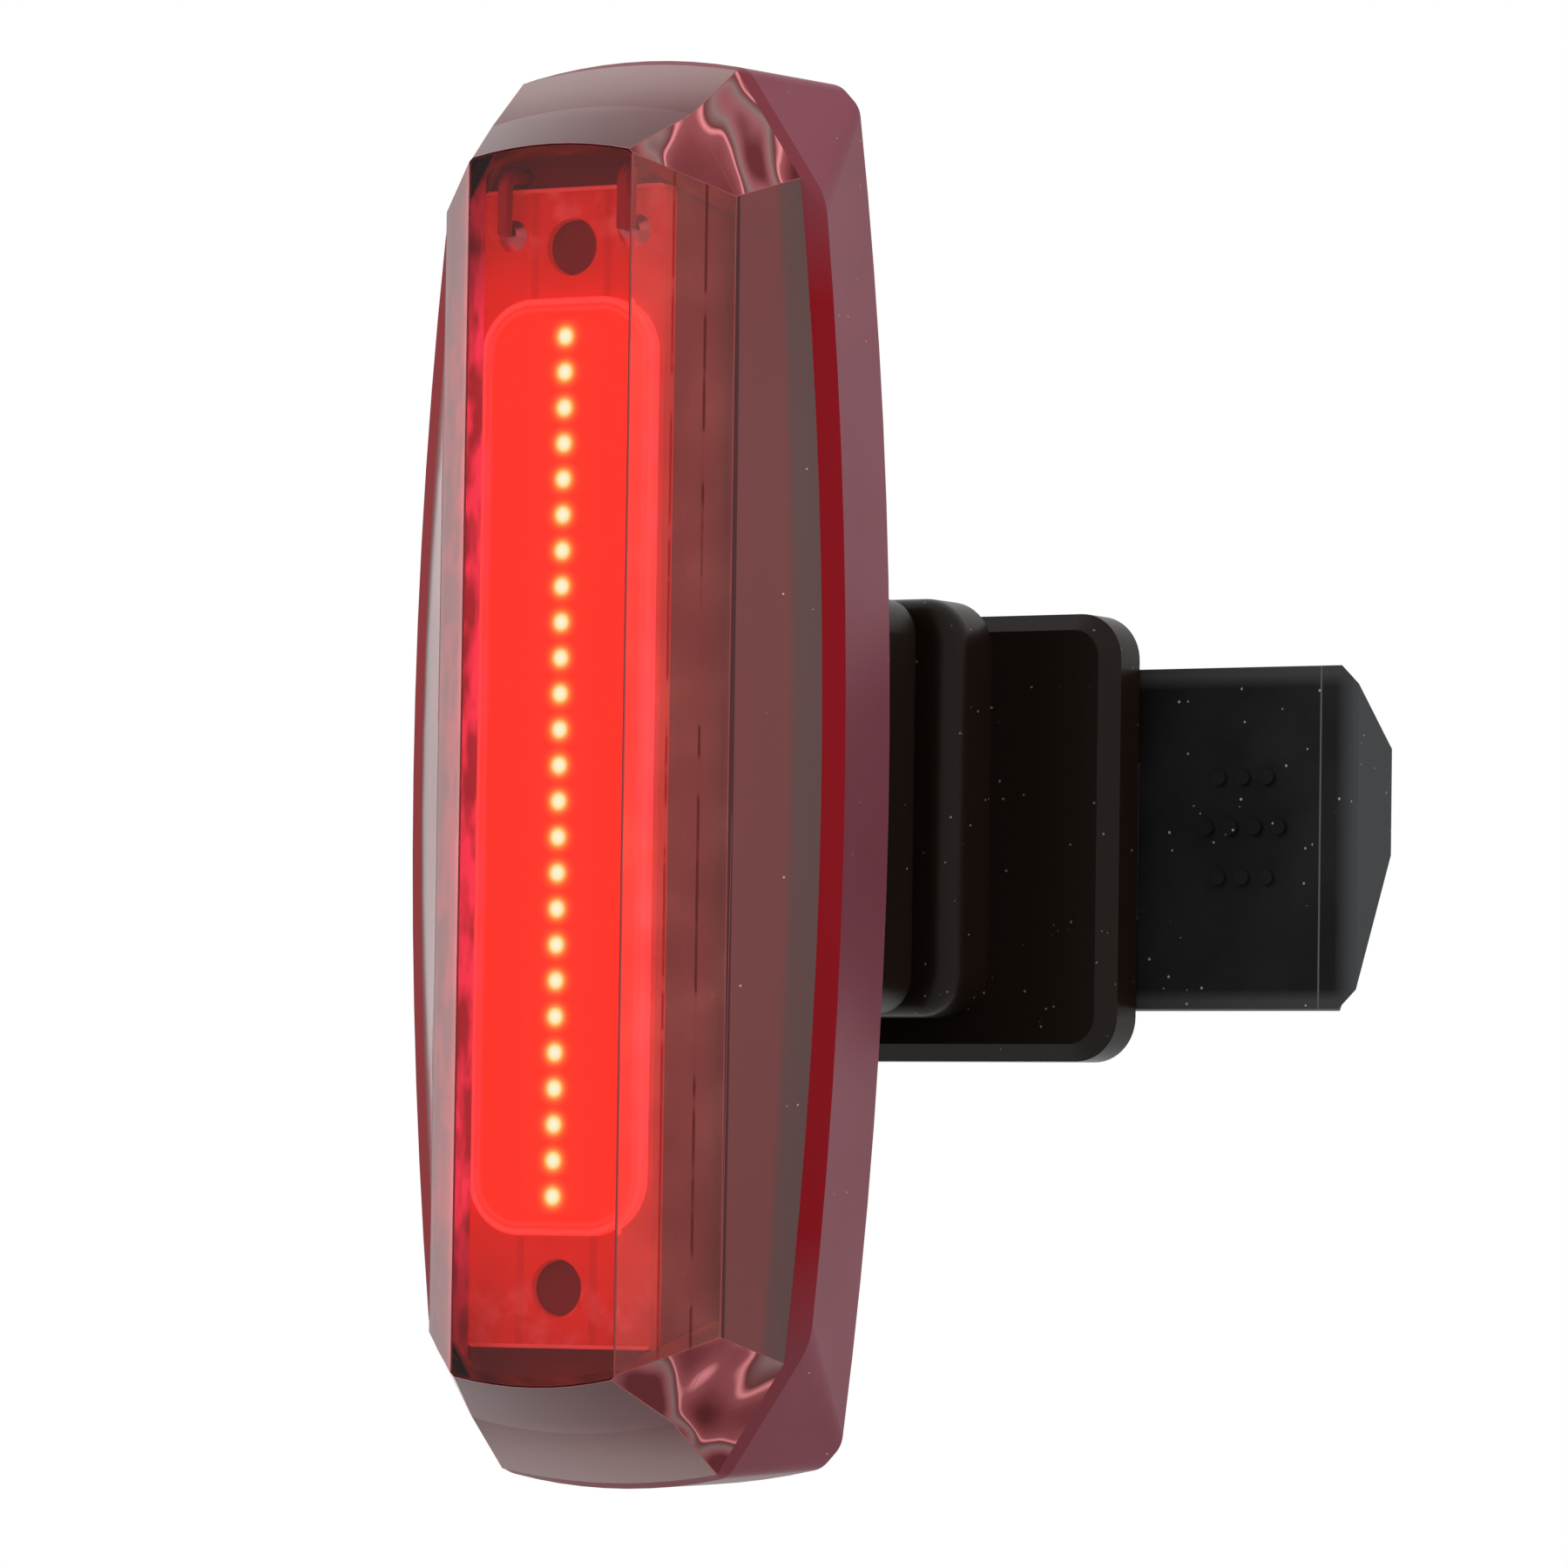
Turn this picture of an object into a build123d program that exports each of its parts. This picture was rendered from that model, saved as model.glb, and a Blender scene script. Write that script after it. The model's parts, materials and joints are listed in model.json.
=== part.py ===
from build123d import *
import os
from math import acos, atan2, cos, hypot, radians, sin

# Bike rear light with a silicone strap mount for a seatpost.
# Millimetres. The origin is on the seatpost's axis at the middle of the strap's height.
# +Z runs up along the post, the light's window faces -Y, and the pull tab points to +X.

# Seatpost, strap and pull tab
post_radius = 13.6
strap_thick = 2.5
strap_high = 18.0
band_narrow = 1.6
bend_radius = 2.0
tab_thick = 4.0
tab_long = 15.95
tab_gap = 0.3
tab_front_cut = 1.0
tab_top_cut = 4.2
tab_low_cut = 8.2
tab_cut_run = 2.9
slot_lead = 0.15
slot_wide = 2.9
slot_margin = 4.7

# Raised dots on the tab for the finger, in rows of three, four and three
pip_rows = (3, 4, 3)
pip_radius = 0.4
pip_rise = 0.2
pip_pitch = 1.42
pip_row_pitch = 2.64
pip_from_end = 6.7
pip_lift = 0.55

# Anchor pin of the strap and the ears that hold it
pin_radius = 1.1
pin_aside = 3.4
pin_standoff = 3.2
eye_wall = 1.65
eye_fit = 0.05
pin_fit = 0.02
ear_thick = 2.3
ear_gap = 0.3
ear_radius = 2.7
pin_head = 0.6
pin_head_radius = 1.7

# Hook that the pull tab drops over
hook_gap = 0.5
hook_thick = 1.5
hook_side_gap = 0.4
hook_nose = 0.6
hook_tip = 0.8
hook_tail_gap = 0.2

# Saddle pad
pad_wall = 3.1
pad_wide_share = 0.88
pad_tip = 1.0
pad_over = 0.5
pad_corner = 2.0
groove_deep = 0.5
groove_wide = 1.2
groove_pitch = 3.6
groove_margin = 2.0

# Bracket base plate
base_depth = 3.0
base_side_lip = 1.0
base_end_lip = 0.25
base_corner = 2.4
base_bevel = 0.9

# Head height above the strap's middle
head_z = 2.8

# Rim of the head: a long outline with bowed sides and ends, its front corners cut off wide.
# A cut corner starts a little under the half height and ends at a share of the half width.
rim_half_wide = 13.15
rim_half_high = 37.3
rim_depth = 4.8
rim_fit = 0.1
front_side_bow = 1.6
front_end_bow = 0.75
front_corner_low = 7.7
front_end_share = 0.517
front_side_round = 4.0
front_end_round = 1.5
rear_inset = 0.1
rear_side_bow = 2.3
rear_end_bow = 1.1
rear_corner_low = 2.3
rear_end_share = 0.736
rear_round = 1.5

# Seal between the window and the rim
seal_depth = 0.7
seal_round = 0.3

# Window: the foot lies inside the rim, the shoulder inside the foot and the flat inside the shoulder
window_wall = 1.2
foot_deep = 7.8
foot_side_step = 1.0
foot_end_step = 0.3
foot_corner_low = 6.4
foot_end_share = 0.535
foot_side_bow = 1.75
foot_end_bow = 0.6
shoulder_deep = 4.05
shoulder_side_step = 3.35
shoulder_end_step = 2.6
shoulder_corner_low = 5.1
shoulder_end_share = 0.688
shoulder_end_bow = 0.7
flat_side_step = 3.88
flat_end_step = 2.4
flat_corner_low = 0.7
flat_end_share = 0.96
flat_end_bow = 0.5
skirt_side_step = 0.5
skirt_end_step = 1.2
skirt_high = 2.2
skirt_wall = 1.1
# How far the inner skin lies inside the outer one at the flat, shoulder and foot, in walls
inset_shares = (0.42, 0.72, 1.32)
sink_shares = (1.0, 0.7, 0.0)

# Light board
board_deep = 2.6
board_thick = 1.0
board_side_over = 0.48
board_end_space = 7.3
board_corner = 0.4
board_hole_radius = 1.5
board_hole_in = 3.1
strip_thick = 0.5
strip_side = 0.3
strip_end = 5.8
strip_corner_share = 0.295
led_end = 2.0
led_pitch = 1.85
led_wide = 0.7
led_high = 1.1
led_thick = 0.15
channel_side = 0.25
pad_side_share = 0.667
pad_end_in = 2.4
solder_radius = 0.85
solder_high = 0.4
wire_radius = 0.4
wire_sides = 8
wire_rise = 0.75
wire_bend = 0.9
wire_hole_gap = 0.15
wire_drop = 1.6

# Inner frame that carries the light board
frame_plate = 1.4
frame_gap = 0.3
frame_wall = 0.9
frame_flange = 1.2
boss_radius = 1.8
post_fit = 0.1
post_short = 0.35

# Battery, foam and control board
battery_side_space = 5.95
battery_end_space = 7.0
battery_edge = 1.2
foam_thick = 0.8
foam_margin = 1.5
control_thick = 1.0
control_space = 3.6
control_side_space = 3.75
control_end_gap = 0.6
control_corner = 1.0
standoff_radius = 1.1
standoff_side_in = 1.4
standoff_end_in = 2.2
lead_radius = 0.45
lead_x = 1.6
lead_drop = 1.7
lead_bend = 0.7
# Chips: place across and up in half sizes of the board, then width and height in its half
# width, and thickness in the space behind the board
chip_shares = ((-0.50, 0.24, 0.60, 0.48, 0.33), (0.43, 0.27, 0.38, 0.38, 0.28),
               (-0.48, 0.44, 0.40, 0.50, 0.39),
               (0.57, 0.42, 0.24, 0.33, 0.25), (0.31, -0.22, 0.48, 0.48, 0.31),
               (-0.52, -0.28, 0.31, 0.40, 0.42))

# Rear cover
cover_depth = 3.7
cover_floor = 1.6
cover_wall = 1.4
cover_step = 0.35
cover_taper = 2.3
spigot_high = 1.3
spigot_wall = 1.0
spigot_fit = 0.1
cover_screw_side_in = 5.65
cover_screw_end_in = 6.9

# Screws
screw_radius = 1.0
screw_head_radius = 1.9
screw_head = 1.0
screw_fit = 0.1
screw_bite = 4.4
bracket_screw_side_in = 3.1
bracket_screw_end_in = 4.7
bracket_screw_bite = 2.6
clip_screw_end_in = 5.5
clip_screw_bite = 3.0
drive_deep = 0.5
drive_across = 1.3

# Clip on the back of the light, with a T tongue
clip_gap = 0.2
clip_depth = 3.8
clip_side_in = 2.55
clip_short = 0.2
clip_corner = 2.0
clip_edge = 0.6
head_side_in = 3.0
neck_side_in = 2.1
tongue_top_gap = 1.2

# Receiver plate with its T slot
receiver_depth = 3.9
receiver_side_over = 2.1
receiver_short = 1.5
receiver_lift = 1.5
receiver_corner = 2.6
receiver_pillow = 1.4
receiver_floor = 0.7
lip_thick = 1.5
slot_fit = 0.25
stop_high = 3.2

# Switch and power button, between the clip and the lower cover screws
switch_side = 6.0
switch_high = 2.0
plunger_radius = 1.5
plunger_fit = 0.05
plunger_rise = 0.6
plunger_sunk = 0.8
plunger_well = 1.5
button_radius = 4.6
button_fit = 0.15
button_rise = 0.9
button_edge = 0.4
button_flange = 0.8
button_flange_thick = 0.5
button_flange_gap = 0.1
stem_radius = 1.3
dish_radius = 3.2
dish_slope = 1.2
dish_deep = 0.4

# Charging socket and its rubber flap, between the clip and the upper cover screws
usb_half_wide = 4.5
usb_high = 3.3
usb_wall = 0.35
tongue_half_wide = 3.3
tongue_thick = 0.7
tongue_short = 1.4
usb_fit = 0.2
usb_place_share = 0.5
recess_side = 2.7
recess_top_share = 0.23
recess_low_share = 0.27
recess_deep = 0.9
recess_corner = 0.8
flap_gap = 0.3
flap_sink = 0.05
flap_thick = 1.15
flap_corner = 1.0
plug_half_wide = 3.6
plug_high = 1.6
plug_deep = 0.8
pull_lip = 0.6
pull_lip_half_wide = 2.4

# Charge indicator, between the flap and the upper cover screws
pipe_place_share = 0.86
pipe_radius = 1.0
pipe_fit = 0.05
pipe_flange = 0.5

overrun = 1.0

# Tab, hook and pin, from the post outwards
band_high = strap_high - 2 * band_narrow
tab_start_x = post_radius + strap_thick / 2 + bend_radius
tab_end_x = tab_start_x + tab_long
slot_start_x = tab_start_x + slot_lead
slot_high = strap_high - 2 * slot_margin
hook_end_x = slot_start_x + hook_gap + hook_thick
pin_x = -(post_radius + pin_aside)
pad_half_wide = post_radius * pad_wide_share
pad_high = strap_high + 2 * pad_over
groove_count = int((pad_high - 2 * groove_margin) / groove_pitch) + 1
base_half_wide = hook_end_x + base_side_lip
base_high = strap_high + 2 * (ear_gap + ear_thick + base_end_lip)

# Clip and receiver, from the base plate's height and the rim's width
receiver_high = base_high - receiver_short
clip_high = receiver_high - clip_short
clip_half_wide = rim_half_wide - clip_side_in
receiver_half_wide = clip_half_wide + receiver_side_over
bracket_screw_x = receiver_half_wide - bracket_screw_side_in
bracket_screw_z = receiver_high / 2 - bracket_screw_end_in
clip_screw_z = clip_high / 2 - clip_screw_end_in
head_half_wide = bracket_screw_x - head_side_in
neck_half_wide = head_half_wide - neck_side_in

# Window outlines, from the rim inwards
foot_half_wide = rim_half_wide - foot_side_step
foot_half_high = rim_half_high - foot_end_step
foot_side_z = foot_half_high - foot_corner_low
foot_end_x = foot_half_wide * foot_end_share
shoulder_half_wide = foot_half_wide - shoulder_side_step
shoulder_half_high = foot_half_high - shoulder_end_step
shoulder_side_z = shoulder_half_high - shoulder_corner_low
shoulder_end_x = shoulder_half_wide * shoulder_end_share
flat_half_wide = shoulder_half_wide - flat_side_step
flat_half_high = shoulder_half_high - flat_end_step
flat_side_z = flat_half_high - flat_corner_low
flat_end_x = flat_half_wide * flat_end_share

# Outline of the opening in the rim, which the window's skirt and the cover's spigot fit
skirt_half_wide = foot_half_wide - skirt_side_step
skirt_half_high = foot_half_high - skirt_end_step

# Boards and battery inside the head
board_wide = 2 * (flat_half_wide + board_side_over)
board_high = 2 * (rim_half_high - board_end_space)
board_hole_z = board_high / 2 - board_hole_in
strip_wide = board_wide - 2 * strip_side
strip_high = board_high - 2 * strip_end
led_count = round((strip_high - 2 * led_end) / led_pitch) + 1
pad_x = board_wide / 2 * pad_side_share
pad_z = board_high / 2 - pad_end_in
wire_top_z = board_high / 2 + wire_rise
battery_half_wide = foot_half_wide - battery_side_space
battery_high = board_high - 2 * battery_end_space
cover_screw_x = skirt_half_wide - cover_screw_side_in
cover_screw_z = skirt_half_high - cover_screw_end_in
control_half_wide = foot_half_wide - control_side_space
control_high = 2 * (cover_screw_z - boss_radius - control_end_gap)
standoff_x = control_half_wide - standoff_side_in
standoff_z = control_high / 2 - standoff_end_in

# Socket, button and indicator on the cover, spaced between the clip and the screws
screw_edge_z = cover_screw_z - screw_head_radius
clip_top_z = receiver_lift + clip_high / 2 - head_z
clip_low_z = receiver_lift - clip_high / 2 - head_z
recess_half_wide = usb_half_wide + recess_side
upper_space = screw_edge_z - clip_top_z
usb_z = clip_top_z + usb_place_share * upper_space
recess_top = recess_top_share * upper_space
recess_low = recess_low_share * upper_space
pipe_z = clip_top_z + pipe_place_share * upper_space
button_z = (clip_low_z - screw_edge_z) / 2

# Places along Y, worked out from the seatpost forwards
pad_back = -post_radius
base_back = pad_back - pad_wall
base_front = base_back - base_depth
receiver_front = base_front - receiver_depth
clip_back = receiver_front - clip_gap
cover_back = clip_back - clip_depth
rim_back = cover_back - cover_depth
rim_front = rim_back - rim_depth
seal_front = rim_front - seal_depth
window_front = seal_front - foot_deep
board_front = window_front + board_deep
board_back = board_front + board_thick
battery_front = board_back + frame_plate
floor_front = cover_back - cover_floor
control_back = floor_front - control_space
control_front = control_back - control_thick
battery_back = control_front - foam_thick


def at_depth(sketch, y):
    # a sketch drawn in X and Z is laid at a depth y
    return Plane.XZ.offset(-y) * sketch


def slab(sketch, y_front, y_back):
    return extrude(at_depth(sketch, y_front), amount=y_back - y_front, dir=(0, 1, 0))


def rod(x, z, radius, y_front, y_back):
    return slab(Pos(x, z) * Circle(radius), y_front, y_back)


def in_head(shape):
    # head pieces are drawn about the head's own centre
    return Pos(0, 0, head_z) * shape


def group(shapes):
    # separate solids that share one node
    return Compound([solid for shape in shapes for solid in shape.solids()])


def side_line(start, middle, end, bow):
    # one side of an outline, bowed through the middle or straight
    return ThreePointArc(start, middle, end) if bow else Line(start, end)


def cut_face(half_wide, half_high, side_bow, end_bow, side_z, end_x):
    # a rectangle with bowed sides and ends and corners cut off straight
    x, z = half_wide - side_bow, half_high - end_bow
    lines = [side_line((x, -side_z), (half_wide, 0), (x, side_z), side_bow),
             Line((x, side_z), (end_x, z)),
             side_line((end_x, z), (0, half_high), (-end_x, z), end_bow),
             Line((-end_x, z), (-x, side_z)),
             side_line((-x, side_z), (-half_wide, 0), (-x, -side_z), side_bow),
             Line((-x, -side_z), (-end_x, -z)),
             side_line((-end_x, -z), (0, -half_high), (end_x, -z), end_bow),
             Line((end_x, -z), (x, -side_z))]
    return make_face(lines)


def blunt(face, side_round, end_round):
    # the cut corners are rounded where they meet the sides, then where they meet the ends
    outwards = sorted(face.vertices(), key=lambda corner: abs(corner.X))
    face = fillet(outwards[-4:], side_round)
    outwards = sorted(face.vertices(), key=lambda corner: abs(corner.X))
    return fillet(outwards[:4], end_round)


def rim_front_face():
    side_z = rim_half_high - front_corner_low
    end_x = rim_half_wide * front_end_share
    face = cut_face(rim_half_wide, rim_half_high, front_side_bow, front_end_bow, side_z, end_x)
    return blunt(face, front_side_round, front_end_round)


def rim_rear_face(inset):
    # the rim's rear outline, or one further in for the cover
    half_wide = rim_half_wide - inset
    half_high = rim_half_high - inset
    side_z = half_high - rear_corner_low
    face = cut_face(half_wide, half_high, rear_side_bow, rear_end_bow, side_z, half_wide * rear_end_share)
    return blunt(face, rear_round, rear_round)


def window_face(level, inset):
    # level 0 is the flat, 1 the shoulder and 2 the foot
    half_wide = (flat_half_wide, shoulder_half_wide, foot_half_wide)[level] - inset
    half_high = (flat_half_high, shoulder_half_high, foot_half_high)[level] - inset
    side_bow = (0, 0, foot_side_bow)[level]
    end_bow = (flat_end_bow, shoulder_end_bow, foot_end_bow)[level]
    side_z = (flat_side_z, shoulder_side_z, foot_side_z)[level] - inset
    end_x = (flat_end_x, shoulder_end_x, foot_end_x)[level] - inset
    return cut_face(half_wide, half_high, side_bow, end_bow, side_z, end_x)


def skirt_face(grow):
    side_z = foot_side_z - skirt_end_step + grow
    end_x = foot_end_x - skirt_side_step + grow
    half_wide = skirt_half_wide + grow
    return cut_face(half_wide, skirt_half_high + grow, foot_side_bow, foot_end_bow, side_z, end_x)


def crown_solid(wall):
    # the window's crown, or what lies a wall further in
    depths = (0, shoulder_deep, foot_deep)
    faces = []
    for i in range(len(depths)):
        y = window_front + depths[i] + sink_shares[i] * wall
        faces.append(at_depth(window_face(i, inset_shares[i] * wall), y))
    return loft(faces, ruled=True)


def make_lens():
    crown = crown_solid(0) - crown_solid(window_wall)
    skirt = slab(skirt_face(0), seal_front, seal_front + skirt_high)
    skirt -= slab(skirt_face(-skirt_wall), seal_front, seal_front + skirt_high)
    return in_head(crown + skirt)


def make_seal_ring():
    ring = loft([at_depth(blunt(window_face(2, 0), seal_round, seal_round), seal_front),
                 at_depth(rim_front_face(), rim_front)], ruled=True)
    ring -= slab(skirt_face(rim_fit), seal_front - overrun, rim_front + overrun)
    return in_head(ring)


def make_rim():
    rim = loft([at_depth(rim_front_face(), rim_front), at_depth(rim_rear_face(rear_inset), rim_back)],
               ruled=True)
    rim -= slab(skirt_face(rim_fit), rim_front - overrun, rim_back + overrun)
    return in_head(rim)


def make_light_board():
    board = slab(RectangleRounded(board_wide, board_high, board_corner), board_front, board_back)
    for z in (-board_hole_z, board_hole_z):
        board -= rod(0, z, board_hole_radius, board_front - overrun, board_back + overrun)
    return in_head(board)


def make_light_strip():
    strip_front = board_front - strip_thick
    outline = RectangleRounded(strip_wide, strip_high, strip_wide * strip_corner_share)
    strip = slab(outline, strip_front, board_front)
    channel_wide = led_wide + 2 * channel_side
    channel_high = (led_count - 1) * led_pitch + led_high + 2 * channel_side
    channel = slab(Rectangle(channel_wide, channel_high), board_front - led_thick, board_front)
    return in_head(strip - channel)


def make_leds():
    leds = []
    for i in range(led_count):
        z = (i - (led_count - 1) / 2) * led_pitch
        leds.append(slab(Pos(0, z) * Rectangle(led_wide, led_high), board_front - led_thick, board_front))
    return in_head(group(leds))


def make_solder():
    blobs = []
    for x in (-pad_x, pad_x):
        cap = Cone(solder_radius, solder_radius - solder_high, solder_high,
                   align=(Align.CENTER, Align.CENTER, Align.MIN))
        blobs.append(Pos(x, board_front, pad_z) * Rot(90, 0, 0) * cap)
    return in_head(group(blobs))


def wire_along(points, radius, bend):
    # eight-sided, which is round enough for so thin a wire
    path = FilletPolyline(*points, radius=bend)
    start = Plane(origin=path @ 0, z_dir=path % 0)
    return sweep(start * RegularPolygon(radius, wire_sides), path=path)


def make_lead_wires():
    # each lead rises from its pad, goes over the board's top, through the frame and to the control board
    y_run = board_front - solder_high - wire_radius
    y_mid = (battery_front + control_front) / 2
    low_z = battery_high / 2 + wire_drop
    wires = []
    for x in (-pad_x, pad_x):
        points = [(x, y_run, pad_z), (x, y_run, wire_top_z), (x, y_mid, wire_top_z), (x, y_mid, low_z),
                  (x, control_front, low_z)]
        wires.append(wire_along(points, wire_radius, wire_bend))
    return in_head(group(wires))


def frame_block(wall, y_front):
    # what lies a wall inside the window, from a depth back to the frame's rear edge
    y_back = seal_front + frame_flange
    crown = crown_solid(wall) & slab(Rectangle(2 * rim_half_wide, 2 * rim_half_high), y_front, seal_front)
    return crown + slab(skirt_face(window_wall - skirt_wall - wall), seal_front, y_back)


def make_inner_frame():
    outer_gap = window_wall + frame_gap
    frame = frame_block(outer_gap, board_back) - frame_block(outer_gap + frame_wall, battery_front)
    for x in (-cover_screw_x, cover_screw_x):
        for z in (-cover_screw_z, cover_screw_z):
            frame += rod(x, z, boss_radius, seal_front, floor_front)
            frame -= rod(x, z, screw_radius, floor_front - screw_bite, floor_front + overrun)
    for z in (-board_hole_z, board_hole_z):
        frame += rod(0, z, board_hole_radius - post_fit, board_front + post_short, board_back)
    for x in (-pad_x, pad_x):
        radius = wire_radius + wire_hole_gap
        frame -= rod(x, wire_top_z, radius, board_back - overrun, battery_front + overrun)
    return in_head(frame)


def make_battery():
    cell = slab(Rectangle(2 * battery_half_wide, battery_high), battery_front, battery_back)
    cell = fillet(cell.edges().filter_by(Axis.Z), battery_edge)
    return in_head(cell)


def make_foam():
    side = 2 * (battery_half_wide - foam_margin)
    return in_head(slab(Rectangle(side, battery_high - 2 * foam_margin), battery_back, control_front))


def make_battery_leads():
    # two leads leave the cell's lower end and bend back to the control board
    y_mid = (battery_front + battery_back) / 2
    bottom = -battery_high / 2
    leads = []
    for x in (-lead_x, lead_x):
        points = [(x, y_mid, bottom), (x, y_mid, bottom - lead_drop), (x, control_front, bottom - lead_drop)]
        leads.append(wire_along(points, lead_radius, lead_bend))
    return in_head(group(leads))


def make_control_board():
    outline = RectangleRounded(2 * control_half_wide, control_high, control_corner)
    return in_head(slab(outline, control_front, control_back))


def make_chips():
    chips = []
    for across, up, wide, high, thick in chip_shares:
        package = Rectangle(wide * control_half_wide, high * control_half_wide)
        place = Pos(across * control_half_wide, up * control_high / 2)
        chips.append(slab(place * package, control_back, control_back + thick * control_space))
    return in_head(group(chips))


def make_switch():
    top = control_back + switch_high
    body = slab(Pos(0, button_z) * Rectangle(switch_side, switch_side), control_back, top)
    body -= rod(0, button_z, plunger_radius + plunger_fit, top - plunger_well, top + overrun)
    return in_head(body)


def make_plunger():
    top = control_back + switch_high
    return in_head(rod(0, button_z, plunger_radius, top - plunger_sunk, top + plunger_rise))


def make_button():
    # cap through the cover, flange under its floor and a stem down to the plunger
    stem_front = control_back + switch_high + plunger_rise
    flange_back = floor_front - button_flange_gap
    cap_top = cover_back + button_rise
    cap = rod(0, button_z, button_radius, flange_back - button_flange_thick, cap_top)
    cap = chamfer(cap.edges().sort_by(Axis.Y)[-1], button_edge)
    flange = rod(0, button_z, button_radius + button_flange, flange_back - button_flange_thick, flange_back)
    stem = rod(0, button_z, stem_radius, stem_front, flange_back)
    low_radius = dish_radius - dish_slope
    dish = Cone(dish_radius, low_radius, dish_deep, align=(Align.CENTER, Align.CENTER, Align.MIN))
    return in_head(cap + flange + stem - Pos(0, cap_top, button_z) * Rot(90, 0, 0) * dish)


def usb_outline(half_wide, high):
    return Pos(0, usb_z) * SlotOverall(2 * half_wide, high)


def make_usb_socket():
    mouth = cover_back - recess_deep
    shell = slab(usb_outline(usb_half_wide, usb_high), control_back, mouth)
    shell -= slab(usb_outline(usb_half_wide - usb_wall, usb_high - 2 * usb_wall), control_back + usb_wall,
                  mouth + overrun)
    tongue = slab(Pos(0, usb_z) * Rectangle(2 * tongue_half_wide, tongue_thick), control_back + usb_wall,
                  mouth - tongue_short)
    return in_head(shell + tongue)


def recess_sketch(margin):
    high = recess_top + recess_low - 2 * margin
    middle = usb_z + (recess_top - recess_low) / 2
    return Pos(0, middle) * RectangleRounded(2 * (recess_half_wide - margin), high, recess_corner - margin)


def make_flap():
    # a plate in the cover's recess, a plug for the socket, a bead at the hinge and a lip to pull
    floor = cover_back - recess_deep + flap_sink
    bead_z = flap_axis_z()
    half_wide = recess_half_wide - flap_gap
    top_z = usb_z + recess_top - flap_gap
    outline = Pos(0, (bead_z + top_z) / 2) * Rectangle(2 * half_wide, top_z - bead_z)
    plate = slab(outline, floor, floor + flap_thick)
    plate = fillet(plate.edges().filter_by(Axis.Y).sort_by(Axis.Z)[-2:], flap_corner)
    bead = Pos(0, flap_axis_y(), bead_z) * Rot(0, 90, 0) * Cylinder(flap_thick / 2, 2 * half_wide)
    plug = slab(usb_outline(plug_half_wide, plug_high), floor - plug_deep, floor)
    lip = slab(Pos(0, top_z - pull_lip) * RectangleRounded(2 * pull_lip_half_wide, pull_lip, pull_lip / 3),
               floor + flap_thick, floor + flap_thick + pull_lip)
    return in_head(plate + bead + plug + lip)


def flap_axis_y():
    return cover_back - recess_deep + flap_sink + flap_thick / 2


def flap_axis_z():
    return usb_z - recess_low + flap_gap + flap_thick / 2


def make_pipe():
    body = rod(0, pipe_z, pipe_radius, floor_front - pipe_flange, cover_back)
    flange = rod(0, pipe_z, pipe_radius + pipe_flange, floor_front - pipe_flange, floor_front)
    return in_head(body + flange)


def make_rear_cover():
    step = rear_inset + cover_step
    outer = loft([at_depth(rim_rear_face(step), rim_back), at_depth(rim_rear_face(cover_taper), cover_back)],
                 ruled=True)
    taper = (cover_taper - step) * (floor_front - rim_back) / cover_depth
    inner = loft([at_depth(rim_rear_face(step + cover_wall), rim_back),
                  at_depth(rim_rear_face(step + taper + cover_wall), floor_front)], ruled=True)
    cover = outer - inner
    spigot = slab(skirt_face(rim_fit - spigot_fit), rim_back - spigot_high, rim_back)
    spigot -= slab(skirt_face(rim_fit - spigot_fit - spigot_wall), rim_back - spigot_high, rim_back)
    cover += spigot
    cover -= rod(0, button_z, button_radius + button_fit, floor_front - overrun, cover_back + overrun)
    cover -= rod(0, pipe_z, pipe_radius + pipe_fit, floor_front - overrun, cover_back + overrun)
    cover -= slab(recess_sketch(0), cover_back - recess_deep, cover_back + overrun)
    cover -= slab(usb_outline(usb_half_wide + usb_fit, usb_high + 2 * usb_fit), floor_front - overrun,
                  cover_back + overrun)
    for x in (-cover_screw_x, cover_screw_x):
        for z in (-cover_screw_z, cover_screw_z):
            cover -= rod(x, z, screw_radius + screw_fit, floor_front - overrun, cover_back + overrun)
            cover -= rod(x, z, screw_head_radius + screw_fit, cover_back - screw_head, cover_back + overrun)
    for z in (-clip_screw_z, clip_screw_z):
        cover -= rod(0, z, screw_radius + screw_fit, floor_front - overrun, cover_back + overrun)
    for x in (-standoff_x, standoff_x):
        for z in (-standoff_z, standoff_z):
            cover += rod(x, z, standoff_radius, control_back, floor_front)
    return in_head(cover)


def screw(x, z, y_head, y_seat, y_tip):
    # a pan head with a cross recess; the shank runs from the seat to the tip
    head = rod(x, z, screw_head_radius, y_head, y_seat)
    recess = Pos(x, z) * (Rectangle(drive_across * 2, drive_deep) + Rectangle(drive_deep, drive_across * 2))
    low, high = sorted((y_head, y_head + (y_seat - y_head) * drive_deep / screw_head))
    head -= slab(recess, low, high)
    return head + rod(x, z, screw_radius, y_seat, y_tip)


def make_cover_screws():
    seat = cover_back - screw_head
    screws = []
    for x in (-cover_screw_x, cover_screw_x):
        for z in (-cover_screw_z, cover_screw_z):
            screws.append(screw(x, z, cover_back, seat, floor_front - screw_bite))
    return in_head(group(screws))


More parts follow.
